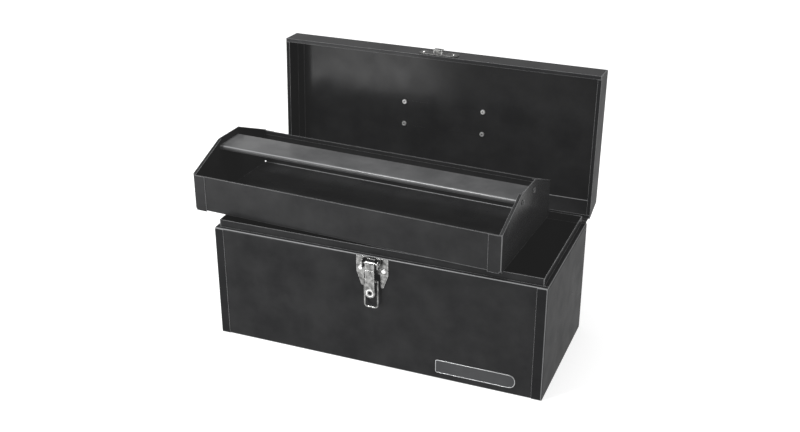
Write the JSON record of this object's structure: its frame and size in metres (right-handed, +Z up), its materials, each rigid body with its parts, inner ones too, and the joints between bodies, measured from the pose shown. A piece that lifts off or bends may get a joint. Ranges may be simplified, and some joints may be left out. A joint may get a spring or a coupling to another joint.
{
  "type": "metal tool box",
  "caption": "Folded sheet-steel tool box with a hinged lid, a draw latch, a bail carrying handle and a lift-out tray, shown open with the tray propped on the rim.",
  "frame": {"origin": "centre of the base's underside", "axes": "+X along the box to the right seen from the front, +Y to the back, where the hinge is, +Z up; the latch faces -Y"},
  "size_m": [0.4413, 0.2523, 0.3237],
  "materials": {
    "enamel": "glossy black baked enamel",
    "tray_enamel": "glossy black baked enamel",
    "hinge_steel": "black enamel over a piano hinge",
    "plated_steel": "bright zinc or nickel plating",
    "grip": "moulded black plastic",
    "badge": "blank satin foil"
  },
  "bodies": {
    "box": {"base_wrapper": "enamel", "end_panel_left": "enamel", "end_panel_right": "enamel", "tray_rest_left": "enamel", "tray_rest_right": "enamel", "front_badge": "badge", "hinge_leaf_base": "hinge_steel", "hinge_pin": "plated_steel", "latch_plate": "plated_steel", "latch_rivets": "plated_steel", "latch_pin": "plated_steel"},
    "lid": {"lid_shell": "enamel", "lid_end_left": "enamel", "lid_end_right": "enamel", "hinge_leaf_lid": "hinge_steel", "handle_bracket_left": "plated_steel", "handle_bracket_right": "plated_steel", "bracket_rivets": "plated_steel", "keeper": "plated_steel", "keeper_rivets": "plated_steel"},
    "handle": {"handle_rod": "plated_steel", "handle_grip": "grip"},
    "latch_lever": {"latch_lever": "plated_steel"},
    "latch_bail": {"latch_bail": "plated_steel"},
    "tray": {"tray_trough": "tray_enamel", "tray_end_left": "tray_enamel", "tray_end_right": "tray_enamel", "tray_strip": "tray_enamel"}
  },
  "joints": [
    {"name": "lid_hinge", "type": "hinge", "parent": "box", "child": "lid", "pos_m": [0, 0.0955, 0.133], "axis": [1, 0, 0], "range_deg": [0, 92.45]},
    {"name": "handle_pivot", "type": "hinge", "parent": "lid", "child": "handle", "pos_m": [0, 0.14771, 0.22831], "axis": [1, 0, 0], "range_deg": [0, 174]},
    {"name": "latch_lever_pivot", "type": "hinge", "parent": "box", "child": "latch_lever", "pos_m": [0, -0.094, 0.1365], "axis": [-1, 0, 0], "range_deg": [0, 90]},
    {"name": "latch_bail_pivot", "type": "hinge", "parent": "latch_lever", "child": "latch_bail", "pos_m": [0, -0.0927, 0.115], "axis": [-1, 0, 0], "range_deg": [0, 100]},
    {"name": "tray_slide", "type": "slide", "parent": "box", "child": "tray", "axis": [0, -1, 0], "range_m": [0, 0.25]}
  ],
  "couplings": [
    {"joint": "tray_slide", "follows": "lid_hinge", "m_per_rad": 0.1549}
  ]
}
